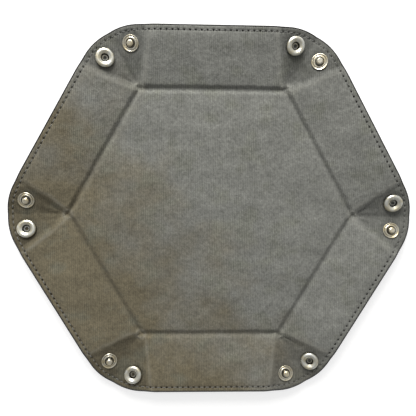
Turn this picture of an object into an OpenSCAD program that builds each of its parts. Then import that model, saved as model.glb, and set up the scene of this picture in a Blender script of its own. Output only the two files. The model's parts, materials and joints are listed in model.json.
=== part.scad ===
// Folding dice tray: a six-sided leather sheet with stiffened panels that snaps up into a walled tray.
// The underside of the floor lies on Z = 0 and the tray's axis is the Z axis.
// Corner 1 points along +X and the others follow anticlockwise. Wall 1 runs from corner 1 to corner 2.
// All six walls stand slightly raised, as the opened tray lies at rest.

/* [Tray] */
// Width of the floor, from crease to opposite crease
floor_width = 181; // [150:1:220]
// Width of a wall, from its crease to its outer edge; it is also the radius of the rounded corners
wall_height = 41.5; // [38:0.5:50]
// Angle of the walls above the floor when the opened tray lies relaxed
rest_angle = 11; // [6:1:20]
// Lowest angle of the walls, where the snap caps touch the table
flat_angle = 3; // [2:0.5:5]

/* [Layers] */
// Thickness of the outer leather cover
cover_t = 0.9; // [0.7:0.05:1.1]
// Thickness of the stiffening boards
board_t = 1.8; // [1.4:0.1:2]
// Thickness of the velvet liner
liner_t = 0.7; // [0.5:0.05:0.9]
// Distance from a crease to the edge of the liner's raised panel
board_inset = 2.5; // [2.4:0.1:4]
// Distance from a wall's corner hinge to the end of its raised panel
end_inset = 1.5; // [1:0.1:6]
// Distance from the outer edge to the raised panel of a wall
rim_width = 6.5; // [5:0.5:8]
// Lean of the ends of the wall boards, away from the corners
board_lean = 8; // [0:1:12]

/* [Snaps] */
// Distance of each snap from its floor corner, along the corner's middle line
snap_reach = 28.2; // [26:0.2:30]
// Distance of each snap from the corner's middle line
snap_offset = 10.6; // [10:0.1:11.5]
// Diameter of the socket ring
socket_d = 13.2; // [12:0.1:13.4]
// Height of the socket ring
socket_h = 3.4; // [3.2:0.05:3.4]
// Diameter of the stud flange
stud_d = 11.5; // [10.5:0.1:12]
// Diameter of the cap on the underside
cap_d = 12.8; // [12:0.1:13.4]
// Diameter of the eyelet on the underside
eyelet_d = 9.8; // [9:0.1:10.5]

/* [Hidden] */
CORNERS = [1:6];
CORNER_STEP = 60;
HALF_STEP = 30;

// Gaps between bodies that turn against each other, and the glue between two layers
fold_gap = 0.15;
floor_gap = 0.8;
plane_gap = 0.1;
glue_gap = 0.05;
slip = 0.05;
sliver = 0.01;
big = 300;

// The thin flexible zone at the creases and corners, and the full thickness of a panel
thin_t = cover_t + liner_t;
panel_t = thin_t + board_t;
half_width = floor_width / 2;
side = floor_width / sqrt(3);
vertex_r = side;
floor_corner_r = vertex_r - 3.2;

// Half the distance between the two liner faces of a snapped corner
flange_t = 0.8;
half_stack = (socket_h + flange_t + 0.1) / 2;

// The corner hinges. An ear folds outwards by 60 degrees as its wall comes upright, about a line on the
// cover's face. Inset from the floor corner, that line lets the two ears of a corner lie face to face.
upright = 90;
ear_angle = 2 * atan(tan(rest_angle / 2) / sqrt(3));
hinge_inset = (half_stack + thin_t * (1 - sin(HALF_STEP))) / cos(HALF_STEP);
hinge_y = side / 2 - hinge_inset;

// The open pivot between a stud ear and the next wall has more room, for the middle of the travel
open_gap = 1.9;

// Place of a snap on a flat ear: along the wall's height, and outwards from the ear's hinge
snap_x = snap_reach * cos(HALF_STEP) + snap_offset * sin(HALF_STEP);
snap_u = snap_reach * sin(HALF_STEP) - snap_offset * cos(HALF_STEP) + hinge_inset;
post_hole_r = 1.75;
barrel_hole_r = 1.25;

// A point of a folded ear, in the frame of its corner: x away from the tray's axis and y anticlockwise.
// p runs up the wall, u outwards from the ear's hinge, and h up from the cover's face.
function on_wall(p, u, h) = [
    p,
    u * cos(ear_angle) + h * sin(ear_angle) - hinge_inset,
    h * cos(ear_angle) - u * sin(ear_angle)
];
function raised(v) = [
    v[0] * cos(rest_angle) - (v[2] - thin_t) * sin(rest_angle),
    v[1],
    thin_t + v[0] * sin(rest_angle) + (v[2] - thin_t) * cos(rest_angle)
];
function in_corner(v) = [
    vertex_r + v[0] * cos(HALF_STEP) + v[1] * sin(HALF_STEP),
    v[0] * sin(HALF_STEP) - v[1] * cos(HALF_STEP),
    v[2]
];
function ear_point(p, u, h) = in_corner(raised(on_wall(p, u, h)));

// The fold line of a corner, half a stack above the liner and on the corner's middle plane
fold_h = thin_t + half_stack;
fold_near = ear_point(0, 0, fold_h);
fold_next = ear_point(0, 1, fold_h);
fold_u = fold_near[1] / (fold_near[1] - fold_next[1]);
fold_point = ear_point(0, fold_u, fold_h);
fold_tilt = ear_angle;
fold_relief = rest_angle - flat_angle;

function names(stem) = [for (k = CORNERS) str(stem, "_", k)];

// Colours
leather = [0.16, 0.16, 0.16];
velvet = [0.46, 0.45, 0.43];
greyboard = [0.62, 0.56, 0.46];
nickel = [0.78, 0.77, 0.74];

// A hexagon with its corners on the X axis and its flats this far from the centre
module hexagon(flat) {
    circle(r = flat / cos(HALF_STEP), $fn = 6);
}

// The floor's outline, this far inside the creases, with its corners rounded off
module floor_outline(inset) {
    intersection() {
        hexagon(half_width - inset);
        circle(r = floor_corner_r - inset, $fn = 192);
    }
}

// A wall's outline: inset from the crease, from the ends and from the outer edge, with leaning ends
module wall_outline(from_crease, from_end, from_edge, lean) {
    top = wall_height - from_edge;
    near = hinge_y - from_end - from_crease * tan(lean);
    far = hinge_y - from_end - top * tan(lean);
    polygon([[from_crease, -near], [top, -far], [top, far], [from_crease, near]]);
}

// The outline of a socket ear, flat, with its hinge on the X axis and the corner towards -Y
module ear_outline(hinge_gap) {
    intersection() {
        union() {
            translate([0, -hinge_inset]) square([wall_height, hinge_inset]);
            translate([0, -hinge_inset]) circle(r = wall_height, $fn = 128);
        }
        translate([floor_gap, -wall_height - hinge_inset]) {
            square([wall_height, wall_height + hinge_inset - hinge_gap]);
        }
    }
}

// A panel of liner: its raised top, and a skirt that slopes down to the thin zone round the board
module liner_shell() {
    hull() {
        translate([0, 0, cover_t]) linear_extrude(liner_t) children(0);
        translate([0, 0, panel_t - sliver]) linear_extrude(sliver) children(1);
    }
}

// Turns what is drawn on a flat wall, with the crease on the Y axis, to its place in the resting tray
module on_resting_wall(k) {
    rotate([0, 0, CORNER_STEP * (k - 1) + HALF_STEP])
        translate([half_width, 0, thin_t])
            rotate([0, -rest_angle, 0])
                translate([0, 0, -thin_t])
                    children();
}

// The same for a flat socket ear, with its hinge on the X axis
module on_resting_ear(k) {
    on_resting_wall(k)
        translate([0, -hinge_y, 0])
            rotate([ear_angle, 0, 0])
                children();
}

// The other half of a corner is the mirror image
module mirrored_ear(k) {
    turn = CORNER_STEP * (k - 1);
    mirror([-sin(turn), cos(turn), 0]) on_resting_ear(k) children();
}

// The room on the socket side of a corner's middle plane, with relief for opening the corner flat
module socket_side(k) {
    rotate([0, 0, CORNER_STEP * (k - 1)])
        translate(fold_point)
            rotate([0, -fold_tilt, 0])
                rotate([fold_relief, 0, 0])
                    translate([-big / 2, plane_gap, -big / 2])
                        cube(big);
}

// The two glued layers of an ear, as they lie at rest, with a hole for the snap's post
module ear_layers(k, hinge_gap, hole_r) {
    intersection() {
        on_resting_ear(k) difference() {
            union() {
                linear_extrude(cover_t - glue_gap) ear_outline(hinge_gap);
                translate([0, 0, cover_t]) linear_extrude(liner_t) ear_outline(hinge_gap);
            }
            translate([snap_x, -snap_u, -thin_t]) cylinder(r = hole_r, h = 3 * thin_t, $fn = 48);
        }
        socket_side(k);
    }
}

// Floor
module floor_cover() {
    color(leather) linear_extrude(cover_t) hexagon(half_width - fold_gap);
}

module floor_board() {
    color(greyboard) translate([0, 0, cover_t]) linear_extrude(board_t) floor_outline(board_inset);
}

module floor_liner() {
    color(velvet) difference() {
        union() {
            liner_shell() {
                floor_outline(2 * fold_gap);
                floor_outline(board_inset);
            }
            translate([0, 0, cover_t]) linear_extrude(liner_t) hexagon(half_width - fold_gap);
        }
        translate([0, 0, cover_t]) linear_extrude(board_t) floor_outline(board_inset);
    }
}

// Walls
module wall_cover(k) {
    color(leather) on_resting_wall(k) linear_extrude(cover_t) wall_outline(fold_gap, fold_gap, 0, 0);
}

module board_shape() {
    wall_outline(board_inset, end_inset, rim_width, board_lean);
}

module wall_board(k) {
    color(greyboard) on_resting_wall(k) translate([0, 0, cover_t]) linear_extrude(board_t) board_shape();
}

module wall_liner(k) {
    color(velvet) on_resting_wall(k) difference() {
        union() {
            liner_shell() {
                wall_outline(2 * fold_gap, 2 * fold_gap, rim_width - board_inset, board_lean);
                board_shape();
            }
            translate([0, 0, cover_t]) linear_extrude(liner_t) wall_outline(fold_gap, fold_gap, 0, 0);
        }
        translate([0, 0, cover_t]) linear_extrude(board_t) board_shape();
    }
}

// Ears
module socket_ear(k) {
    color(velvet) ear_layers(k, fold_gap, post_hole_r);
}

module stud_ear(k) {
    turn = CORNER_STEP * (k - 1);
    color(velvet) mirror([-sin(turn), cos(turn), 0]) ear_layers(k, open_gap, barrel_hole_r);
}

// Points of an arc in a turned profile
function arc(cx, cz, r, from, to) = [
    for (i = [0:ARC_STEPS]) [
        cx + r * cos(from + (to - from) * i / ARC_STEPS),
        cz + r * sin(from + (to - from) * i / ARC_STEPS)
    ]
];
ARC_STEPS = 6;

// A piece turned about the snap's axis, standing on the cover's face of a flat ear
module turned() {
    translate([snap_x, -snap_u, 0]) rotate_extrude($fn = 64) children();
}

// Socket: a hollow nickel ring with a rolled mouth, and the split spring ring inside it
socket_r = socket_d / 2;
sheet = 0.45;
mouth_r = 2.8;
crown_r = 1.7;
lip_r = 0.35;
lip_drop = 1.2;
ring_wire_r = 0.4;
ring_r = 3.1;
ring_split = 24;

module socket_shell() {
    crown_x = socket_r - crown_r;
    crown_z = socket_h - crown_r;
    floor_r = 0.6;
    polygon(concat(
        [[post_hole_r, 0]],
        arc(socket_r - floor_r, floor_r, floor_r, -90, 0),
        arc(crown_x, crown_z, crown_r, 0, 110),
        [[mouth_r + lip_r + slip, socket_h - lip_drop + sheet]],
        arc(mouth_r + lip_r, socket_h - lip_drop, lip_r, 120, 270),
        [[mouth_r + lip_r + 0.4, socket_h - lip_drop + slip]],
        arc(crown_x, crown_z, crown_r - sheet, 110, 0),
        arc(socket_r - floor_r, floor_r, floor_r - sheet, 0, -90),
        [[post_hole_r, sheet]]
    ));
}

module snap_socket(k) {
    color(nickel) on_resting_ear(k) {
        translate([0, 0, thin_t]) {
            turned() socket_shell();
            translate([snap_x, -snap_u, socket_h / 2 - 0.35]) {
                rotate_extrude(angle = 360 - ring_split, $fn = 64) {
                    translate([ring_r, 0]) circle(r = ring_wire_r, $fn = 24);
                }
            }
        }
    }
}

// Cap: the domed button on the underside, whose hollow post is rolled over inside the socket
post_r = post_hole_r - slip;
cap_rise = 1.2;
cap_rim = 0.5;
roll_h = 0.35;
roll_r = 2.25;

module snap_cap(k) {
    cap_r = cap_d / 2;
    post_in = post_r - sheet;
    seat = thin_t + sheet;
    color(nickel) on_resting_ear(k) turned() polygon(concat(
        [[0, -cap_rise], [cap_r * 0.45, -cap_rise]],
        arc(cap_r - cap_rim, -cap_rim, cap_rim, -75, 90),
        [[post_r, 0], [post_r, seat], [roll_r, seat]],
        arc(roll_r, seat + roll_h / 2, roll_h / 2, -90, 90),
        [[post_in, seat + roll_h], [post_in, 0], [post_in - sheet, -sheet], [0, -sheet]]
    ));
}

// Stud: a flange with a rolled rim, a raised ring and a hollow nub with a neck
neck_r = 1.95;
nub_r = 2.3;
nub_h = 3.2;
nub_sheet = 0.4;
bulb_r = 0.7;
bulb_drop = 0.95;
ring_edge = 0.3;
ring_slope = 0.25;
ring_in = 3.1;
ring_out = 4.2;

module stud_shell() {
    stud_r = stud_d / 2;
    rim = flange_t / 2;
    dip = flange_t * 0.6;
    bulb_z = nub_h - bulb_drop;
    polygon(concat(
        [[barrel_hole_r, 0], [stud_r - rim, 0]],
        arc(stud_r - rim, rim, rim, -60, 120),
        [[ring_out + ring_slope, dip]],
        arc(ring_out - ring_edge, flange_t - ring_edge, ring_edge, 30, 90),
        arc(ring_in + ring_edge, flange_t - ring_edge, ring_edge, 90, 150),
        [[ring_in - ring_slope, dip], [neck_r + 0.2, dip], [neck_r, dip + 0.2], [neck_r, bulb_z - 0.6]],
        arc(nub_r - bulb_r, bulb_z, bulb_r, -30, 60),
        [[nub_r - 0.9, nub_h], [0, nub_h], [0, nub_h - nub_sheet], [nub_r - 1.1, nub_h - nub_sheet]],
        [[neck_r - nub_sheet, bulb_z - 0.2], [neck_r - nub_sheet, sheet], [barrel_hole_r, sheet]]
    ));
}

module snap_stud(k) {
    color(nickel) mirrored_ear(k) translate([0, 0, thin_t]) turned() stud_shell();
}

// Eyelet: the ring on the underside, whose barrel is flared inside the nub
barrel_r = barrel_hole_r - slip;
barrel_in = barrel_r - 0.35;
flare_r = 1.5;
flare_h = 0.3;

module snap_eyelet(k) {
    eyelet_r = eyelet_d / 2;
    bead = 0.45;
    seat = thin_t + sheet;
    color(nickel) mirrored_ear(k) turned() polygon(concat(
        [[barrel_in, seat + flare_h], [barrel_in, 0]],
        arc(barrel_in + bead, 0, bead, 180, 270),
        arc(eyelet_r - bead, 0, bead, -90, 0),
        [[barrel_r, 0], [barrel_r, seat], [flare_r, seat], [flare_r, seat + flare_h]]
    ));
}

// Assembly
floor_cover();
floor_board();
floor_liner();
for (k = CORNERS) {
    wall_cover(k);
    wall_board(k);
    wall_liner(k);
    socket_ear(k);
    stud_ear(k);
    snap_socket(k);
    snap_cap(k);
    snap_stud(k);
    snap_eyelet(k);
}
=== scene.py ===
import json
import math

import bmesh
import bpy
import numpy as np
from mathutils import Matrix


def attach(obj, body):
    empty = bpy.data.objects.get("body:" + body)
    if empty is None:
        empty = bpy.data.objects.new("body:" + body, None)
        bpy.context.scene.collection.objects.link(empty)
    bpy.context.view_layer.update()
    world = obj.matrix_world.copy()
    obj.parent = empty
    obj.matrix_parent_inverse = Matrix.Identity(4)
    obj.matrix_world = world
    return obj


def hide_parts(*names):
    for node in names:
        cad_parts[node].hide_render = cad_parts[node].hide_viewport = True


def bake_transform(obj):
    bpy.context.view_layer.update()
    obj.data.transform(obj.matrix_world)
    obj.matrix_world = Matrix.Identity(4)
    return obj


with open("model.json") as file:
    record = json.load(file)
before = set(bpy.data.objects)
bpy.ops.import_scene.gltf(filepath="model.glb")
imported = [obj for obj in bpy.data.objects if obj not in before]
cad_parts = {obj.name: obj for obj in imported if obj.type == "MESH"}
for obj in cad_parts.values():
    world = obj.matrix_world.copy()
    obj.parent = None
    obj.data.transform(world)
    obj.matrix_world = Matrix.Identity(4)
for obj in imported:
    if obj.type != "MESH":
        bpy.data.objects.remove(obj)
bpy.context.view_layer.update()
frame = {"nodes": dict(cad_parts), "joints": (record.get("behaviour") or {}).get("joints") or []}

# Lengths below are in millimetres and become metres when a mesh is made.
MM = 0.001

# ---------------------------------------------------------------- sizes from the frame
joints = {joint["name"]: joint for joint in frame["joints"]}
crease_point = np.array(joints["wall_1_fold"]["pos_m"]) / MM
clockwise = np.array(joints["wall_1_fold"]["axis"])
hinge_point = np.array(joints["corner_1_end_fold"]["pos_m"]) / MM
hinge_axis = np.array(joints["corner_1_end_fold"]["axis"])
HALF_WIDTH = math.hypot(crease_point[0], crease_point[1])
THIN = crease_point[2]
REST = math.asin(hinge_axis[2])
EAR_TURN = 2 * math.atan(math.tan(REST / 2) / math.sqrt(3))
SIXTH = math.radians(60)
TWELFTH = math.radians(30)
SIDE = 2 * HALF_WIDTH * math.tan(TWELFTH)
VERTEX = SIDE
HINGE = float((hinge_point - crease_point) @ clockwise)
INSET = SIDE / 2 - HINGE
SIDES = range(1, 7)

# ---------------------------------------------------------------- sizes of the cloth
WALL = 41.5
COVER_T = 0.9
PANEL_RISE = 1.8
LINER_EDGE = WALL - 0.75
COVER_EDGE = WALL + 0.1
STITCH_IN = 3.5
STITCH_LINE = WALL - STITCH_IN
STITCHES_PER_SIDE = 26
STITCHES_PER_CORNER = 10
PITCH = SIDE / STITCHES_PER_SIDE
CORNER_PITCH = SIXTH / STITCHES_PER_CORNER
CELLS_PER_STITCH = 3
FINE = 3
BOARD_LEAN = math.radians(8)
# A shoulder starts at its foot, measured inwards from a crease, hinge or edge, and rises over its slope
END_FOOT = -4.6
END_SLOPE = 4.7
RIM_FOOT = 0.3
RIM_SLOPE = 9.5
RIM_LIFT = 1.2
FLOOR_FOOT = 0.5
FLOOR_SLOPE = 3.5
WALL_SLOPE = 2.8
RIM_BLEND = 0.4
END_BLEND = 0.5
# The part of a board's height that the cloth keeps where it spans a crease
SPAN = 0.22
TUCK_LENGTH = 5.2
TUCK_HALF_WIDTH = 3.0
TUCK_SKIN = 0.15
TUCK_DROP = 0.16
TUCK_BACK = 0.3
TUCK_LIP = 0.08
SNAP_REACH = 28.2
SNAP_OFFSET = 10.6
HOLE_R = 0.66
SHARP = math.radians(55)
LINER_T = 0.68
LAYER_GAP = 0.04
CREASE_BLEND = 3.2
CREASE_WIDTH = 2.2
PILLOW = 0.4
PILLOW_DEPTH = 8.0
PANEL_BLEND = 8.0
SNAP_DENT = 0.22
SNAP_SEAT = 6.2
SNAP_SWELL = 0.3
SNAP_SWELL_R = 9.0
SNAP_SWELL_WIDTH = 1.7
# The velvet and the leather sink along the seam and into its needle holes
HEM_DENT = 0.2
HEM_WIDTH = 0.9
HOLE_DEPTH = 0.62
COVER_HEM_DENT = 0.18
COVER_HEM_WIDTH = 0.8
COVER_HOLE_DEPTH = 0.4
# The leather is grooved along the creases and bulges round the snaps
COVER_GROOVE = 0.32
COVER_GROOVE_WIDTH = 1.5
COVER_BULGE = 0.25
COVER_BULGE_R = 8.6
COVER_BULGE_WIDTH = 1.6
PUCKER_R = 2.9
TUCK_COLUMNS = 25
TUCK_SPREAD = 115
THREAD_WIDTH = 0.3
THREAD_HEIGHT = 0.24
THREAD_SIDES = 6
THREAD_STEPS = 8
# A thread runs over this much of its pitch, lies this high at its crown and dips this far at its ends
THREAD_START = 0.14
THREAD_SPAN = 0.72
THREAD_CROWN = 0.1
THREAD_DIP = 0.75


# ---------------------------------------------------------------- small maths
def smooth(v, low=0.0, high=1.0):
    t = np.clip((v - low) / (high - low), 0, 1)
    return t * t * (3 - 2 * t)


def bell(v, width):
    return np.exp(-((v / width) ** 2))


def soft_min(a, b, r):
    h = np.clip(0.5 + 0.5 * (b - a) / r, 0, 1)
    return b * (1 - h) + a * h - r * h * (1 - h)


def soft_max(a, b, r):
    return -soft_min(-a, -b, r)


LATTICE_CELLS = 64
LATTICE = np.random.default_rng(7).random((LATTICE_CELLS, LATTICE_CELLS))


def lattice(i, j):
    """The random lattice, repeated without end."""
    return LATTICE[i % LATTICE_CELLS, j % LATTICE_CELLS]


def noise(x, y, size, offset=0.0):
    """Smooth value noise from -1 to 1, with features of this size."""
    u, v = x / size + 17.3 + offset, y / size + 31.7 + 2 * offset
    i, j = np.floor(u).astype(int), np.floor(v).astype(int)
    fu, fv = smooth(u - i), smooth(v - j)
    low = lattice(i, j) * (1 - fu) + lattice(i + 1, j) * fu
    high = lattice(i, j + 1) * (1 - fu) + lattice(i + 1, j + 1) * fu
    return 2 * (low * (1 - fv) + high * fv) - 1


# ---------------------------------------------------------------- places on the resting tray
def in_wall(x, y):
    """Distance outwards from the nearest crease, and the place along it."""
    side = np.floor(np.arctan2(y, x) / SIXTH)
    turn = side * SIXTH + TWELFTH
    return x * np.cos(turn) + y * np.sin(turn) - HALF_WIDTH, y * np.cos(turn) - x * np.sin(turn)


def in_corner(x, y):
    """Place from the nearest floor corner, outwards and anticlockwise."""
    turn = np.round(np.arctan2(y, x) / SIXTH) * SIXTH
    return x * np.cos(turn) + y * np.sin(turn) - VERTEX, y * np.cos(turn) - x * np.sin(turn)


def ear_place(p, u, h):
    """A point of the folded socket ear: p up the wall, u from the ear's hinge, h above the cover's face."""
    q = u * math.cos(EAR_TURN) + h * math.sin(EAR_TURN) - INSET
    lift = h * math.cos(EAR_TURN) - u * math.sin(EAR_TURN) - THIN
    out = p * math.cos(REST) - lift * math.sin(REST)
    up = THIN + p * math.sin(REST) + lift * math.cos(REST)
    ahead = out * math.cos(TWELFTH) + q * math.sin(TWELFTH)
    return np.array([ahead, out * math.sin(TWELFTH) - q * math.cos(TWELFTH), up])


ear_start = ear_place(0, 0, THIN)
ear_normal = np.cross(ear_place(1, 0, THIN) - ear_start, ear_place(0, 1, THIN) - ear_start)


def rise(x, y):
    """Height of the thin zone's top above the floor's thin zone: the walls lean out and the ears dip."""
    s, _ = in_wall(x, y)
    ahead, aside = in_corner(x, y)
    wall = math.tan(REST) * soft_max(s, 0, 0.8)
    across = np.sqrt(aside**2 + 1.0)
    run = ear_normal[0] * (ahead - ear_start[0]) + ear_normal[1] * (across - ear_start[1])
    ear = ear_start[2] - THIN - run / ear_normal[2]
    return smooth(s, -0.2, 1.3) * soft_min(wall, ear, 0.25)


def reach(x, y):
    """Distance outwards from the crease, or from the floor corner on the round part of a corner."""
    s, t = in_wall(x, y)
    ahead, aside = in_corner(x, y)
    return np.where(np.abs(t) > SIDE / 2, np.hypot(ahead, aside), s)


def shoulder(n):
    """Rise of cloth over a board's edge, from 0 at its foot to 1 on the board."""
    n = np.clip(n, 0, 1)
    return 0.6 * smooth(n) + 0.4 * np.sin(n * math.pi / 2)


def from_end(s, t):
    """Distance inwards from the foot of the cloth's shoulder at a wall's leaning end."""
    return (HINGE - END_FOOT - np.abs(t)) * math.cos(BOARD_LEAN) - s * math.sin(BOARD_LEAN)


def panels(x, y):
    """How far the cloth stands on a board, from 0 to 1, and how deep inside a panel a point is."""
    s, t = in_wall(x, y)
    ahead, aside = in_corner(x, y)
    near = -(ahead * math.cos(TWELFTH) + np.abs(aside) * math.sin(TWELFTH))
    next_one = -(ahead * math.cos(TWELFTH) - np.abs(aside) * math.sin(TWELFTH))
    inner = soft_min(near, next_one, CREASE_BLEND)
    uneven = 0.06 * noise(x, y, 9.0, 6.0) + 0.03 * noise(x, y, 3.1, 7.0)
    floor = (inner - FLOOR_FOOT) / FLOOR_SLOPE + uneven
    ends = from_end(s, t)
    wall = soft_min(s / WALL_SLOPE + uneven, (WALL - s - RIM_FOOT) / RIM_SLOPE, RIM_BLEND)
    wall = soft_min(wall, ends / END_SLOPE, END_BLEND)
    depth = soft_min(soft_min(s, WALL - s, PANEL_BLEND), ends, PANEL_BLEND)
    depth = np.where(s < 0, inner, depth)
    spanned = SPAN * bell(s, CREASE_WIDTH) * smooth(HINGE - np.abs(t), 2, 12)
    on_board = 1 - (1 - shoulder(np.where(s < 0, floor, wall))) * (1 - spanned)
    return on_board, np.clip(depth, 0, 60)


def hem_lift(x, y):
    """The rise of a wall's hem towards the middle of its board. It sinks to the cover's level at the ears."""
    s, t = in_wall(x, y)
    return RIM_LIFT * smooth(s, WALL - 14, WALL - 6) * smooth(HINGE - np.abs(t), -1.0, 9.0)


def holes(x, y):
    """1 at the middle of a needle hole, falling to 0 around it."""
    _, t = in_wall(x, y)
    ahead, aside = in_corner(x, y)
    round_part = np.abs(t) > SIDE / 2
    angle = np.arctan2(aside, ahead)
    around = np.where(round_part, angle / CORNER_PITCH * PITCH, t)
    off = around - PITCH * np.round(around / PITCH)
    return bell(np.hypot(off, reach(x, y) - STITCH_LINE), HOLE_R)


def snap_distance(x, y):
    """Distance from the nearer snap, in plan."""
    ahead, aside = in_corner(x, y)
    return np.hypot(ahead - SNAP_REACH, np.abs(aside) - SNAP_OFFSET)


def puckers(x, y):
    """The small gathered folds round a floor corner, where three creases and a fold run together."""
    ahead, aside = in_corner(x, y)
    r = np.hypot(ahead, aside)
    angle = np.arctan2(aside, ahead)
    wobble = noise(x, y, 4.0, 3.0)
    ring = bell(r - PUCKER_R - 0.6 * wobble, 0.95) * (0.55 + 0.45 * np.cos(4 * angle + 2 * wobble))
    pit = -0.35 * bell(np.hypot(ahead - 0.6, aside + 0.7 * wobble), 1.0)
    fade = bell(r - 6, 7) * smooth(r, 1.5, 4)
    ridge = 0.5 * bell((np.abs(angle) - TWELFTH - BOARD_LEAN * 1.3) * r, 1.3) * fade
    middle = -0.25 * bell(angle * r, 1.6) * bell(r - 9, 9)
    return ring + pit + ridge + middle


def wrinkles(x, y):
    """Soft creases that run out from the floor corner towards the snaps."""
    ahead, aside = in_corner(x, y)
    r = np.hypot(ahead, aside)
    angle = np.arctan2(aside, ahead)
    fan = np.sin(angle * 13 + 1.7 * noise(x, y, 13.0, 5.0) + np.round(np.arctan2(y, x) / SIXTH) * 2.1)
    window = smooth(r, 4, 9) * (1 - smooth(r, 22, 34)) * (1 - smooth(np.abs(angle), 0.5, 0.8))
    return 0.16 * fan * window


def liner_top(x, y):
    """Height of the velvet's face, which lies on the boards and sinks into the creases and the stitching."""
    on_board, depth = panels(x, y)
    pillow = PILLOW * (1 - np.exp(-depth / PILLOW_DEPTH))
    flow = 0.16 * noise(x, y, 31.0) + 0.07 * noise(x, y, 11.0, 1.0)
    from_snap = snap_distance(x, y)
    dent = SNAP_DENT * (1 - smooth(from_snap, SNAP_SEAT, SNAP_SEAT + 2))
    snap = SNAP_SWELL * bell(from_snap - SNAP_SWELL_R, SNAP_SWELL_WIDTH) - dent
    edge = reach(x, y)
    hem = -HEM_DENT * bell(edge - STITCH_LINE, HEM_WIDTH) - HOLE_DEPTH * holes(x, y)
    calm = smooth(from_snap, 5.5, 9)
    lift = hem_lift(x, y)
    return (
        THIN + rise(x, y) + lift + (PANEL_RISE - lift) * on_board + pillow * on_board + hem + snap
        + calm * (flow * (0.35 + 0.65 * on_board) + wrinkles(x, y) + puckers(x, y) * (1 - 0.6 * on_board))
    )


def liner_back(x, y):
    """Height of the velvet's underside."""
    on_board, _ = panels(x, y)
    lift = hem_lift(x, y)
    return THIN + rise(x, y) + lift + (PANEL_RISE - lift) * on_board - LINER_T


def cover_face(x, y):
    """Height of the leather's face, which is the tray's underside."""
    on_board, _ = panels(x, y)
    s, _ = in_wall(x, y)
    from_snap = snap_distance(x, y)
    groove = COVER_GROOVE * bell(s, COVER_GROOVE_WIDTH) + 0.12 * (1 - on_board) * smooth(from_snap, 7, 10)
    bulge = -COVER_BULGE * bell(from_snap - COVER_BULGE_R, COVER_BULGE_WIDTH)
    ahead, aside = in_corner(x, y)
    fold = -0.3 * bell(np.hypot(ahead, aside) - 3.5, 1.6)
    flow = 0.08 * (1 + noise(x, y, 23.0, 4.0)) * on_board
    hem = COVER_HEM_DENT * bell(reach(x, y) - STITCH_LINE, COVER_HEM_WIDTH) + COVER_HOLE_DEPTH * holes(x, y)
    outside = smooth(s, -1, 1)
    lift = hem_lift(x, y) * (1 - on_board)
    return rise(x, y) + lift + groove + flow * 0.5 + outside * (bulge + fold + hem)


def tuck_top(x, y):
    """The top of a tuck. It falls away outwards, to keep out of sight when the corner is lowest."""
    return liner_top(x, y) - TUCK_SKIN - TUCK_DROP * np.hypot(*in_corner(x, y))


def tuck_bottom(x, y):
    """The bottom of a tuck, just inside the leather's face."""
    return cover_face(x, y) + TUCK_SKIN


def tuck_middle(x, y):
    """Where the velvet of a tuck meets its leather."""
    return (tuck_top(x, y) + tuck_bottom(x, y)) / 2


def cover_back(x, y):
    """Height of the leather's upper side, which the boards and the velvet are glued to."""
    on_board, _ = panels(x, y)
    return rise(x, y) + hem_lift(x, y) * (1 - on_board) + COVER_T - LAYER_GAP


# ---------------------------------------------------------------- meshes
def new_piece(name, vertices, faces, materials, smooth_faces=True):
    """An object from points in millimetres, with its resting plan kept as an attribute for the materials."""
    mesh = bpy.data.meshes.new(name)
    mesh.from_pydata([tuple(p) for p in np.asarray(vertices) * MM], [], faces)
    work = bmesh.new()
    work.from_mesh(mesh)
    bmesh.ops.remove_doubles(work, verts=work.verts, dist=1e-6)
    bmesh.ops.recalc_face_normals(work, faces=work.faces)
    work.to_mesh(mesh)
    work.free()
    points = np.zeros(len(mesh.vertices) * 3, np.float32)
    mesh.vertices.foreach_get("co", points)
    points = points.reshape(-1, 3) / MM
    x, y = points[:, 0].astype(float), points[:, 1].astype(float)
    plan = mesh.attributes.new("plan", "FLOAT_VECTOR", "POINT")
    plan.data.foreach_set("vector", points.ravel())
    for label, values in (
        ("hole", holes(x, y)), ("fold", fold_shade(x, y)), ("painted_highlight", painted_highlight(x, y)), ("ear", ear_shade(x, y)),
    ):
        attribute = mesh.attributes.new(label, "FLOAT", "POINT")
        attribute.data.foreach_set("value", values.astype(np.float32))
    mesh.polygons.foreach_set("use_smooth", [smooth_faces] * len(mesh.polygons))
    mesh.set_sharp_from_angle(angle=SHARP)
    piece = bpy.data.objects.new(name, mesh)
    bpy.context.scene.collection.objects.link(piece)
    for material in materials:
        mesh.materials.append(material)
    return piece


def fold_shade(x, y):
    """Painted shade: where the cloth is creased, and in the pit at the floor corner, the velvet is drawn
    darker.
    """
    s, _ = in_wall(x, y)
    ahead, aside = in_corner(x, y)
    r = np.hypot(ahead, aside)
    crease = bell(s, 1.3) * smooth(r, 3.0, 7.0)
    pit = 0.4 * bell(r, 1.1)
    return np.clip(crease + pit, 0, 1)


def painted_highlight(x, y):
    """Painted highlight: where the velvet is drawn lighter, along the ends of the wall boards and on the
    puckers.
    """
    s, t = in_wall(x, y)
    ahead, aside = in_corner(x, y)
    ends = from_end(s, t)
    edge = bell(ends - END_SLOPE * (0.95 + 0.2 * noise(x, y, 6.0, 8.0)), 1.1) * smooth(s, 2, 5)
    ring = bell(np.hypot(ahead, aside) - 3.1, 1.3)
    return np.clip(edge * (0.75 + 0.35 * noise(x, y, 9.0, 9.0)) + 0.9 * ring, 0, 1)


def ear_shade(x, y):
    """Where the cloth has no board behind it, on the ears. The velvet is drawn darker there as painted shade,
    and its needle holes close up.
    """
    s, t = in_wall(x, y)
    ahead, aside = in_corner(x, y)
    ends = from_end(s, t)
    away = smooth(np.hypot(ahead, aside), 3, 9)
    return smooth(s, 0, 2) * away * (1 - smooth(ends, -0.8, END_SLOPE * 0.8))


def turned(points, k):
    """Plan points turned from the first side or corner to side or corner k."""
    a = (k - 1) * SIXTH
    spin = np.array([[math.cos(a), math.sin(a)], [-math.sin(a), math.cos(a)]])
    return np.asarray(points, float) @ spin


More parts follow.
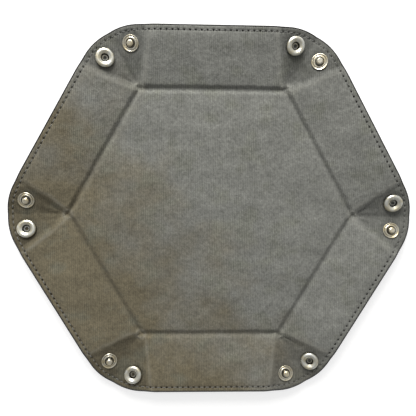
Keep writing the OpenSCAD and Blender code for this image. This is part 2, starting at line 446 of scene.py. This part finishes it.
def between(coarse):
    """The coarse columns with FINE - 1 more between each pair."""
    steps = np.arange(0, len(coarse) - 1 + 1e-9, 1 / FINE)
    return np.interp(steps, np.arange(len(coarse)), coarse)


def layer(starts, ways, rows, height):
    """Points of one face of a cloth. A row is (distance out, lift, whether it has the fine columns)."""
    grid, points = [], []
    for out, lift, fine in rows:
        step = 1 if fine else FINE
        plan = starts[::step] + out * ways[::step]
        z = height(plan[:, 0], plan[:, 1]) + lift
        grid.append(np.arange(len(plan)) + sum(len(g) for g in grid))
        points.append(np.column_stack([plan, z]))
    return grid, np.vstack(points)


def strip(first, second):
    """Faces between two rows, either of which may have the fine columns."""
    if len(first) == len(second):
        return [(first[j], first[j + 1], second[j + 1], second[j]) for j in range(len(first) - 1)]
    if len(first) > len(second):
        return [face[::-1] for face in strip(second, first)]
    return [
        (first[j], first[j + 1], *second[FINE * j : FINE * (j + 1) + 1][::-1])
        for j in range(len(first) - 1)
    ]


def cloth(name, starts, ways, rows, back_rows, face, back, material):
    """A closed cloth between its face and its back, from the crease out to the edge."""
    grid, points = layer(starts, ways, rows, face)
    back_grid, back_points = layer(starts, ways, back_rows, back)
    back_grid = [g + len(points) for g in back_grid]
    faces = []
    for a, b in zip(grid[:-1], grid[1:]):
        faces += strip(a, b)
    for a, b in zip(back_grid[:-1], back_grid[1:]):
        faces += strip(b, a)
    faces += strip(back_grid[0], grid[0])
    faces += strip(grid[-1], back_grid[-1])
    for end in (0, -1):
        faces.append([g[end] for g in grid] + [g[end] for g in back_grid[::-1]])
    faces = [tuple(int(i) for i in f) for f in faces]
    return new_piece(name, np.vstack([points, back_points]), faces, [material])


# Rows out from a crease: close together in the folds and at the hem
NEAR_ROWS = [0, 0.3, 0.6, 0.9, 1.2, 1.5, 1.8, 2.1, 2.5, 3.0, 3.7, 4.6, 5.8, 7.2]
FAR_ROWS = [8.8, 10.6, 12.4, 14.2, 16, 17.8, 19.6, 21.4, 23.2, 25, 26.8, 28.6, 30.4]
FAR_ROWS += [32, 33.4, 34.6, 35.6, 36.4, 37.0]
HEM_ROWS = [37.3, 37.55, 37.8, 38.0, 38.2, 38.45, 38.8, 39.2, 39.7, 40.2]
LINER_ROWS = (
    [(out, 0, False) for out in NEAR_ROWS + FAR_ROWS]
    + [(out, 0, True) for out in HEM_ROWS]
    + [(LINER_EDGE - 0.22, -0.06, True), (LINER_EDGE - 0.06, -0.2, True), (LINER_EDGE, -0.42, True)]
)
BACK_OUTS = [0, 1.2, 2.5, 4.6, 10.6, 19.6, 28.6, 34.6, 37.0]
LINER_BACK_ROWS = [(out, 0, False) for out in BACK_OUTS + [LINER_EDGE - 0.1]]
# The cover's edge is painted and stands up round the liner's cut edge
EDGE_ROWS = [
    (-0.4, 0.06), (-0.16, 0.28), (-0.03, 0.58), (0.0, 0.85), (-0.05, 1.12), (-0.2, 1.38), (-0.42, 1.52),
]
COVER_ROWS = (
    [(out, 0, False) for out in NEAR_ROWS + FAR_ROWS]
    + [(out, 0, True) for out in HEM_ROWS + [40.7]]
    + [(COVER_EDGE + out, lift, True) for out, lift in EDGE_ROWS]
    + [(LINER_EDGE + 0.12, 1.5, True), (LINER_EDGE + 0.02, 1.3, True)]
)
COVER_BACK_ROWS = [(out, 0, False) for out in BACK_OUTS + [LINER_EDGE - 0.05]]

# Columns along a side, one third of a stitch apart, with the ear hinges between
cells = STITCHES_PER_SIDE * CELLS_PER_STITCH
along = np.linspace(-SIDE / 2, SIDE / 2, cells + 1)
wall_columns = np.concatenate([[-HINGE], along[np.abs(along) < HINGE], [HINGE]])
end_columns = np.concatenate([[-HINGE], along[along < -HINGE][::-1]])
corner_columns = np.linspace(TWELFTH, -TWELFTH, STITCHES_PER_CORNER * CELLS_PER_STITCH + 1)


def side_columns(columns, k, side=1):
    """Starts and directions of columns that leave a crease squarely. Side -1 is the next wall clockwise."""
    turn = TWELFTH * side
    way = np.array([math.cos(turn), math.sin(turn)])
    tangent = np.array([-math.sin(turn), math.cos(turn)])
    starts = HALF_WIDTH * way + np.outer(columns, tangent)
    return turned(starts, k), turned(np.tile(way, (len(columns), 1)), k)


def corner_fan(k):
    """Columns of a corner's middle: a fan about the floor corner, then the strip up to the open pivot."""
    angles = between(corner_columns)
    starts = np.tile([VERTEX, 0.0], (len(angles), 1))
    ways = np.column_stack([np.cos(angles), np.sin(angles)])
    strip_starts, strip_ways = side_columns(between(-end_columns[::-1]), 1, -1)
    starts = np.vstack([starts, strip_starts[1:]])
    ways = np.vstack([ways, strip_ways[1:]])
    return turned(starts, k), turned(ways, k)


# ---------------------------------------------------------------- materials
VELVET_GREY = (0.158, 0.160, 0.146)
VELVET_OLIVE = (0.124, 0.108, 0.072)
VELVET_GREEN = (0.130, 0.134, 0.106)
# The colour of the painted highlight along the board ends and on the puckers
VELVET_HIGHLIGHT = (0.25, 0.245, 0.215)
# The colour of the painted shade in the creases
VELVET_CREASE_SHADE = (0.045, 0.045, 0.043)
# The colour of the painted shade inside the needle holes
NEEDLE_HOLE_SHADE = (0.004, 0.004, 0.004)


def shader(name, base, roughness, specular=0.5, metallic=0.0):
    material = bpy.data.materials.new(name)
    material.use_nodes = True
    nodes = material.node_tree.nodes
    out = nodes["Principled BSDF"]
    out.inputs["Base Color"].default_value = (*base, 1)
    out.inputs["Roughness"].default_value = roughness
    out.inputs["Specular IOR Level"].default_value = specular
    out.inputs["Metallic"].default_value = metallic
    return material, out


def node(material, kind, links=None, **settings):
    """A node with its properties and socket values set, and its inputs linked."""
    made = material.node_tree.nodes.new(kind)
    for key, value in settings.items():
        if hasattr(made, key):
            setattr(made, key, value)
        else:
            made.inputs[key.replace("_", " ")].default_value = value
    for key, source in (links or {}).items():
        material.node_tree.links.new(source, made.inputs[key])
    return made


def attribute(material, name, output="Fac"):
    return node(material, "ShaderNodeAttribute", attribute_name=name).outputs[output]


def spread(material, vector, scale, **settings):
    """Noise over the plan, stretched by scale, with values near 0.5."""
    place = node(material, "ShaderNodeMapping", {"Vector": vector}, Scale=scale)
    made = node(material, "ShaderNodeTexNoise", {"Vector": place.outputs[0]}, Scale=1.0, **settings)
    return made.outputs[0]


def maths(material, operation, a, b):
    """One arithmetic node; a and b are sockets or numbers."""
    made = node(material, "ShaderNodeMath", operation=operation)
    for i, value in enumerate((a, b)):
        if isinstance(value, (int, float)):
            made.inputs[i].default_value = value
        else:
            material.node_tree.links.new(value, made.inputs[i])
    return made.outputs[0]


def ramp(material, value, low, high, to_low=0.0, to_high=1.0):
    return node(
        material, "ShaderNodeMapRange", {"Value": value},
        From_Min=low, From_Max=high, To_Min=to_low, To_Max=to_high,
    ).outputs[0]


def tint(material, factor, a, b, blend="MIX"):
    """Mixes colours a and b, each a socket or three numbers."""
    made = node(material, "ShaderNodeMix", data_type="RGBA", blend_type=blend)
    for i, value in ((6, a), (7, b)):
        if isinstance(value, tuple):
            made.inputs[i].default_value = (*value, 1)
        else:
            material.node_tree.links.new(value, made.inputs[i])
    if isinstance(factor, (int, float)):
        made.inputs[0].default_value = factor
    else:
        material.node_tree.links.new(factor, made.inputs[0])
    return made.outputs[2]


def finish_with(material, out, colour, height, distance, strength=1.0, roughness=None):
    links = material.node_tree.links
    links.new(colour, out.inputs["Base Color"])
    bump = node(material, "ShaderNodeBump", {"Height": height}, Strength=strength, Distance=distance)
    links.new(bump.outputs[0], out.inputs["Normal"])
    if roughness is not None:
        links.new(roughness, out.inputs["Roughness"])


def scaled(material, colour, *factors):
    """The colour times the product of these factors."""
    whole = factors[0]
    for factor in factors[1:]:
        whole = maths(material, "MULTIPLY", whole, factor)
    made = node(material, "ShaderNodeVectorMath", {"Vector": colour}, operation="SCALE")
    material.node_tree.links.new(whole, made.inputs["Scale"])
    return made.outputs[0]


def needle_holes(material):
    """The needle holes, which close up on the ears, where no board keeps the cloth taut."""
    openness = ramp(material, attribute(material, "ear"), 0.0, 1.0, 1.0, 0.5)
    return maths(material, "MULTIPLY", attribute(material, "hole"), openness)


def velvet_material():
    material, out = shader("grey_velvet", VELVET_GREY, 0.95, specular=0.12)
    out.inputs["Sheen Weight"].default_value = 0.18
    out.inputs["Sheen Roughness"].default_value = 0.45
    out.inputs["Sheen Tint"].default_value = (0.85, 0.84, 0.78, 1)
    plan = attribute(material, "plan", "Vector")
    patches = spread(material, plan, (0.021, 0.026, 0.02), Detail=3.0, Roughness=0.6)
    drift = spread(material, plan, (0.055, 0.07, 0.06), Detail=2.0, Roughness=0.5)
    mottle = spread(material, plan, (0.16, 0.19, 0.18), Detail=3.0, Roughness=0.6)
    streaks = spread(material, plan, (0.022, 0.075, 0.05), Detail=2.0, Roughness=0.5)
    nap = spread(material, plan, (0.62, 0.5, 0.6), Detail=2.0, Roughness=0.6)
    pile = spread(material, plan, (2.4, 1.3, 2.0), Detail=3.0, Roughness=0.7)
    rib = node(
        material, "ShaderNodeTexWave", {"Vector": plan},
        Scale=0.242, Distortion=1.1, Detail=2.0, bands_direction="X",
    )
    rib.inputs["Detail Scale"].default_value = 0.6
    place = node(material, "ShaderNodeSeparateXYZ", {"Vector": plan})
    # Painted warm light: the velvet turns olive towards the left and the bottom of the tray, and in random
    # patches too
    leftwards = maths(material, "MULTIPLY", place.outputs[0], -0.0048)
    downwards = maths(material, "MULTIPLY", place.outputs[1], -0.0034)
    olive = maths(material, "ADD", maths(material, "ADD", leftwards, downwards), patches)
    colour = tint(material, ramp(material, olive, 0.48, 0.98), VELVET_GREY, VELVET_OLIVE)
    green = ramp(material, drift, 0.52, 0.68, 0.0, 0.45)
    colour = tint(material, green, colour, VELVET_GREEN)
    ribbed = maths(material, "MULTIPLY", ramp(material, rib.outputs[1], 0.0, 1.0, -0.5, 0.5),
                   ramp(material, drift, 0.4, 0.62, 0.16, 0.34))
    colour = scaled(
        material, colour,
        ramp(material, nap, 0.25, 0.75, 0.76, 1.24),
        ramp(material, mottle, 0.25, 0.75, 0.84, 1.16),
        ramp(material, pile, 0.25, 0.75, 0.84, 1.16),
        maths(material, "ADD", ribbed, 1.0),
        ramp(material, streaks, 0.3, 0.7, 0.9, 1.1),
        # Painted shade: the velvet on the ears is drawn darker
        ramp(material, attribute(material, "ear"), 0.0, 1.0, 1.0, 0.72),
    )
    # Painted highlight along the ends of the wall boards and on the puckers
    highlight_amount = maths(material, "MULTIPLY", attribute(material, "painted_highlight"), 0.3)
    colour = tint(material, highlight_amount, colour, VELVET_HIGHLIGHT)
    # Painted shade in the creases and in the pit at the floor corner
    crease_shade_amount = maths(material, "MULTIPLY", attribute(material, "fold"), 0.16)
    colour = tint(material, crease_shade_amount, colour, VELVET_CREASE_SHADE)
    # Painted shade inside the needle holes
    hole = ramp(material, needle_holes(material), 0.18, 0.55)
    colour = tint(material, hole, colour, NEEDLE_HOLE_SHADE)
    height = maths(material, "ADD", maths(material, "MULTIPLY", pile, 0.5), nap)
    height = maths(material, "ADD", height, maths(material, "MULTIPLY", mottle, 0.8))
    height = maths(material, "ADD", height, maths(material, "MULTIPLY", rib.outputs[1], 0.12))
    finish_with(material, out, colour, height, 0.00035, 0.8)
    return material


def leather_material():
    material, out = shader("black_leather", (0.02, 0.02, 0.02), 0.55, specular=0.4)
    plan = attribute(material, "plan", "Vector")
    grain = node(material, "ShaderNodeTexVoronoi", {"Vector": plan}, Scale=0.95, Randomness=1.0, feature="F1")
    veins = node(material, "ShaderNodeTexVoronoi", {"Vector": plan}, Scale=0.55, feature="DISTANCE_TO_EDGE")
    mottle = spread(material, plan, (0.05, 0.05, 0.05), Detail=5.0)
    fine = spread(material, plan, (2.2, 2.2, 2.2), Detail=3.0)
    colour = tint(material, ramp(material, mottle, 0.35, 0.65), (0.017, 0.0165, 0.016), (0.034, 0.033, 0.031))
    colour = tint(material, ramp(material, grain.outputs[0], 0.2, 0.9, 0.0, 0.5), colour, (0.01, 0.01, 0.01))
    # Painted shade inside the needle holes
    hole = maths(material, "MULTIPLY", attribute(material, "hole"), 0.9)
    colour = tint(material, hole, colour, (0.003, 0.003, 0.003))
    height = maths(material, "ADD", maths(material, "MULTIPLY", grain.outputs[0], -0.7), fine)
    height = maths(material, "ADD", height, ramp(material, veins.outputs[0], 0.0, 0.12, 0.0, 0.5))
    roughness = ramp(material, fine, 0.3, 0.7, 0.46, 0.66)
    finish_with(material, out, colour, height, 0.00016, 0.9, roughness)
    return material


def thread_material():
    material, out = shader("grey_thread", (0.13, 0.13, 0.125), 0.7, specular=0.3)
    plan = attribute(material, "plan", "Vector")
    ply = spread(material, plan, (3.2, 3.2, 1.5), Detail=2.0)
    colour = tint(material, ramp(material, ply, 0.35, 0.65), (0.085, 0.085, 0.08), (0.19, 0.19, 0.18))
    finish_with(material, out, colour, ply, 0.00015)
    return material


def nickel_material(name, clean, aged):
    """Plated steel that is clean on its crowns, aged in patches, and painted nearly black deep inside as
    painted shade.
    """
    material, out = shader(name, clean, 0.3, metallic=1.0)
    place = node(material, "ShaderNodeTexCoord").outputs["Object"]
    tarnish = spread(material, place, (260, 240, 240), Detail=4.0)
    scratch = spread(material, place, (3000, 500, 900), Detail=2.0)
    open_sky = node(material, "ShaderNodeAmbientOcclusion", Distance=0.004, samples=8).outputs["AO"]
    colour = tint(material, ramp(material, tarnish, 0.4, 0.62), clean, aged)
    # Painted shade: nearly black where the ambient occlusion finds the metal hemmed in, in the holes and the
    # crevices
    colour = tint(material, ramp(material, open_sky, 0.55, 0.92), (0.012, 0.013, 0.012), colour)
    roughness = ramp(material, tarnish, 0.3, 0.7, 0.26, 0.4)
    finish_with(material, out, colour, scratch, 0.00002, 0.4, roughness)
    return material


def board_material():
    material, out = shader("greyboard", (0.36, 0.31, 0.24), 0.9, specular=0.2)
    place = node(material, "ShaderNodeTexCoord").outputs["Object"]
    fibres = spread(material, place, (900, 250, 600), Detail=5.0)
    colour = tint(material, ramp(material, fibres, 0.3, 0.7), (0.28, 0.24, 0.18), (0.42, 0.37, 0.29))
    finish_with(material, out, colour, fibres, 0.0001)
    return material


velvet = velvet_material()
leather = leather_material()
thread = thread_material()
nickel = nickel_material("nickel_plate", (0.78, 0.78, 0.71), (0.66, 0.61, 0.46))
aged_nickel = nickel_material("aged_nickel", (0.74, 0.71, 0.60), (0.64, 0.56, 0.38))
board = board_material()


# ---------------------------------------------------------------- cloth pieces
def floor_ring():
    """Columns right round the floor, each running in from its crease to the middle."""
    starts = np.vstack([side_columns(along[:-1], k)[0] for k in SIDES])
    return starts, -starts / HALF_WIDTH


def floor_cloth(name, face, back, ins, back_ins, material):
    """A closed hexagonal cloth, in rings from the creases to the middle."""
    starts, ways = floor_ring()
    count = len(starts)
    rows = [(i, face) for i in ins] + [(i, back) for i in back_ins[::-1]]
    points, faces = [], []
    for inward, height in rows:
        plan = starts + inward * ways
        points.append(np.column_stack([plan, height(plan[:, 0], plan[:, 1])]))

    def ring(r, j):
        return (r % len(rows)) * count + j % count

    last_face, first_back = len(ins) - 1, len(ins)
    for r in range(len(rows)):
        if r != last_face:
            faces += [(ring(r, j), ring(r, j + 1), ring(r + 1, j + 1), ring(r + 1, j)) for j in range(count)]
    centre = np.zeros(1)
    middle = len(rows) * count
    points.append([[0, 0, float(face(centre, centre)[0])], [0, 0, float(back(centre, centre)[0])]])
    faces += [(middle, ring(last_face, j), ring(last_face, j + 1)) for j in range(count)]
    faces += [(middle + 1, ring(first_back, j + 1), ring(first_back, j)) for j in range(count)]
    return new_piece(name, np.vstack(points), faces, [material])


FLOOR_INS = NEAR_ROWS + [9, 11, 13, 15.2, 17.6, 20.2, 23, 26, 29.2, 32.6, 36.2, 40]
FLOOR_INS += [44, 48.5, 53.5, 59, 65, 71, 77, 83, 87.5]
FLOOR_BACK_INS = [0, 1.5, 3.0, 7.2, 40, 87.5]

floor_liner = floor_cloth("floor_velvet", liner_top, liner_back, FLOOR_INS, FLOOR_BACK_INS, velvet)
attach(floor_liner, "floor")
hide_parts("floor_liner")
floor_cover = floor_cloth("floor_leather", cover_face, cover_back, FLOOR_INS, FLOOR_BACK_INS, leather)
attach(floor_cover, "floor")
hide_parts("floor_cover")


LAYERS = (
    ("velvet", LINER_ROWS, LINER_BACK_ROWS, liner_top, liner_back, velvet),
    ("leather", COVER_ROWS, COVER_BACK_ROWS, cover_face, cover_back, leather),
)


def both_layers(stem, k, starts, ways):
    """The velvet and the leather of one part of the sheet."""
    made = []
    for kind, rows, back_rows, face, back, material in LAYERS:
        piece = cloth(f"{stem}_{kind}_{k}", starts, ways, rows, back_rows, face, back, material)
        made.append(piece)
    return made


def wall_cloths(k):
    made = both_layers("wall", k, *side_columns(between(wall_columns), k))
    for piece, node_name in zip(made, ("wall_liner", "wall_cover")):
        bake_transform(piece)
        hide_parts(f"{node_name}_{k}")
    return made


def end_cloths(k):
    """The strips where a wall turns into its socket ear."""
    made = both_layers("corner_end", k, *side_columns(between(end_columns), k))
    for piece in made:
        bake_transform(piece)
    return made


def middle_cloths(k):
    """The middle of a corner, from the socket side across the fold to the stud side."""
    made = both_layers("corner", k, *corner_fan(k))
    for piece in made:
        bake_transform(piece)
        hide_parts(f"socket_ear_{k}", f"stud_ear_{k}")
    return made


wall_pieces = {k: wall_cloths(k) for k in SIDES}
end_pieces = {k: end_cloths(k) for k in SIDES}
middle_pieces = {k: middle_cloths(k) for k in SIDES}


TUCK_OUTS = [0, 0.25, 0.5, 0.7, 0.85, 0.95]


def tuck_cloths(k):
    """The fold of cloth inside a floor corner, which shows only when the walls stand up."""
    angles = np.radians(np.linspace(TUCK_SPREAD, -TUCK_SPREAD, TUCK_COLUMNS))
    starts = turned(np.tile([VERTEX - TUCK_BACK, 0.0], (len(angles), 1)), k)
    ways = turned(np.column_stack([TUCK_LENGTH * np.cos(angles), TUCK_HALF_WIDTH * np.sin(angles)]), k)
    made = []
    for stem, face, back, material in (
        ("velvet", tuck_top, tuck_middle, velvet), ("leather", tuck_middle, tuck_bottom, leather),
    ):
        rows = [(out, 0, True) for out in TUCK_OUTS]
        lip = -TUCK_LIP if stem == "velvet" else 0
        piece = cloth(f"tuck_{stem}_{k}", starts, ways, rows + [(1.0, lip, True)], rows + [(1.0, 0, True)],
                      face, back, material)
        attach(piece, "floor")
        made.append(piece)
    return made


tuck_pieces = {k: tuck_cloths(k) for k in SIDES}


def stitch(start, end, face, over):
    """A thread from one needle hole to the next: rings of points along an arch that dips into both holes."""
    points = []
    for t in np.linspace(0, 1, THREAD_STEPS + 1):
        x, y = start + (end - start) * (THREAD_START + THREAD_SPAN * t)
        dip = over * (THREAD_CROWN - THREAD_DIP * abs(2 * t - 1) ** 4)
        points.append((x, y, face + dip))
    forwards = (end - start) / np.linalg.norm(end - start)
    across = np.array([-forwards[1], forwards[0], 0])
    rings = []
    for i, point in enumerate(points):
        swell = 0.7 + 0.3 * math.sin(math.pi * i / THREAD_STEPS)
        for a in np.linspace(0, 2 * math.pi, THREAD_SIDES + 1)[:-1]:
            aside = THREAD_WIDTH * math.cos(a) * across
            upwards = np.array([0, 0, THREAD_HEIGHT * math.sin(a)])
            rings.append(np.array(point) + swell * (aside + upwards))

    def corner(i, j):
        return THREAD_SIDES * i + j % THREAD_SIDES

    faces = [
        (corner(i, j), corner(i, j + 1), corner(i + 1, j + 1), corner(i + 1, j))
        for i in range(THREAD_STEPS) for j in range(THREAD_SIDES)
    ]
    faces.append(tuple(corner(0, j) for j in reversed(range(THREAD_SIDES))))
    faces.append(tuple(corner(THREAD_STEPS, j) for j in range(THREAD_SIDES)))
    return np.array(rings), faces


def stitches(name, holes_at):
    """Threads through these holes in order, on both faces of the tray."""
    points, faces, count = [], [], 0
    for start, end in zip(holes_at[:-1], holes_at[1:]):
        x, y = (start + end)[:, None] / 2
        for face, over in ((liner_top(x, y)[0], 1), (cover_face(x, y)[0], -1)):
            ring, sides = stitch(start, end, face, over)
            points.append(ring)
            faces += [tuple(i + count for i in side) for side in sides]
            count += len(ring)
    piece = new_piece(name, np.vstack(points), faces, [thread])
    return piece


def seam_points(k, numbers):
    """Needle holes along side k, numbered from the middle of the side."""
    turn = TWELFTH
    way, tangent = np.array([math.cos(turn), math.sin(turn)]), np.array([-math.sin(turn), math.cos(turn)])
    return turned([(HALF_WIDTH + STITCH_LINE) * way + n * PITCH * tangent for n in numbers], k)


def corner_seam_points(k):
    """Needle holes round corner k, from the socket side to the stud side."""
    angles = TWELFTH - CORNER_PITCH * np.arange(STITCHES_PER_CORNER + 1)
    return turned([(VERTEX + STITCH_LINE * math.cos(a), STITCH_LINE * math.sin(a)) for a in angles], k)


last = STITCHES_PER_SIDE // 2
for k in SIDES:
    seam = stitches(f"wall_thread_{k}", seam_points(k, range(1 - last, last)))
    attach(seam, f"wall_{k}")
    seam = stitches(f"corner_end_thread_{k}", seam_points(k, (1 - last, -last)))
    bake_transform(seam)
    before = (k - 2) % 6 + 1
    stud_side = seam_points(before, (last, last - 1))
    stud_side[1] += 0.2 * (stud_side[0] - stud_side[1])
    seam = stitches(f"corner_thread_{k}", np.vstack([corner_seam_points(k), stud_side[1:]]))
    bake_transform(seam)

# ---------------------------------------------------------------- metal and boards
finishes = {
    "snap_socket": nickel, "snap_cap": nickel, "snap_stud": aged_nickel, "snap_eyelet": aged_nickel,
    "floor_board": board, "wall_board": board,
}
for name, part in frame["nodes"].items():
    stem = name.rstrip("_123456")
    if stem in finishes:
        part.data.materials.clear()
        part.data.materials.append(finishes[stem])

# ---------------------------------------------------------------- table, lights and camera
bpy.ops.mesh.primitive_plane_add(size=6, location=(0, 0, -0.0001))
table_top = bpy.context.object
table_top.name = "table_top"
pale, pale_out = shader("pale_table", (0.6, 0.6, 0.6), 0.9, specular=0.1)
pale_out.inputs["Emission Color"].default_value = (1, 1, 1, 1)
pale_out.inputs["Emission Strength"].default_value = 0.58
table_top.data.materials.append(pale)

# A bright room: lighter towards the key light, darker behind, and a little lighter overhead
world = bpy.data.worlds.new("studio")
bpy.context.scene.world = world
world.use_nodes = True
sky = node(world, "ShaderNodeSeparateXYZ", {"Vector": node(world, "ShaderNodeTexCoord").outputs["Generated"]})
towards_key = ramp(world, sky.outputs[1], -0.6, 0.9, 0.34, 0.85)
overhead = ramp(world, sky.outputs[2], 0.5, 0.97, 0.9, 1.05)
room = world.node_tree.nodes["Background"]
room.inputs[0].default_value = (1.0, 1.0, 1.0, 1)
world.node_tree.links.new(maths(world, "MULTIPLY", towards_key, overhead), room.inputs[1])


def area_light(name, place, size, power, colour=(1, 1, 1)):
    light = bpy.data.lights.new(name, "AREA")
    light.shape = "SQUARE"
    light.size = size
    light.energy = power
    light.color = colour
    lamp = bpy.data.objects.new(name, light)
    lamp.location = place
    direction = -lamp.location
    lamp.rotation_euler = direction.to_track_quat("-Z", "Y").to_euler()
    bpy.context.scene.collection.objects.link(lamp)


area_light("key", (-0.12, 0.78, 0.46), 0.5, 12.0, (1.0, 0.985, 0.96))

camera_data = bpy.data.cameras.new("camera")
camera_data.sensor_width = 36
camera_data.lens = 35.27
camera_data.clip_start = 0.01
camera = bpy.data.objects.new("camera", camera_data)
camera.location = (-0.0112, 0.0339, 0.300)
camera.rotation_euler = [math.radians(a) for a in (-5.54, -1.63, 0.53)]
bpy.context.scene.collection.objects.link(camera)
bpy.context.scene.camera = camera
bpy.context.scene.view_settings.view_transform = "Standard"
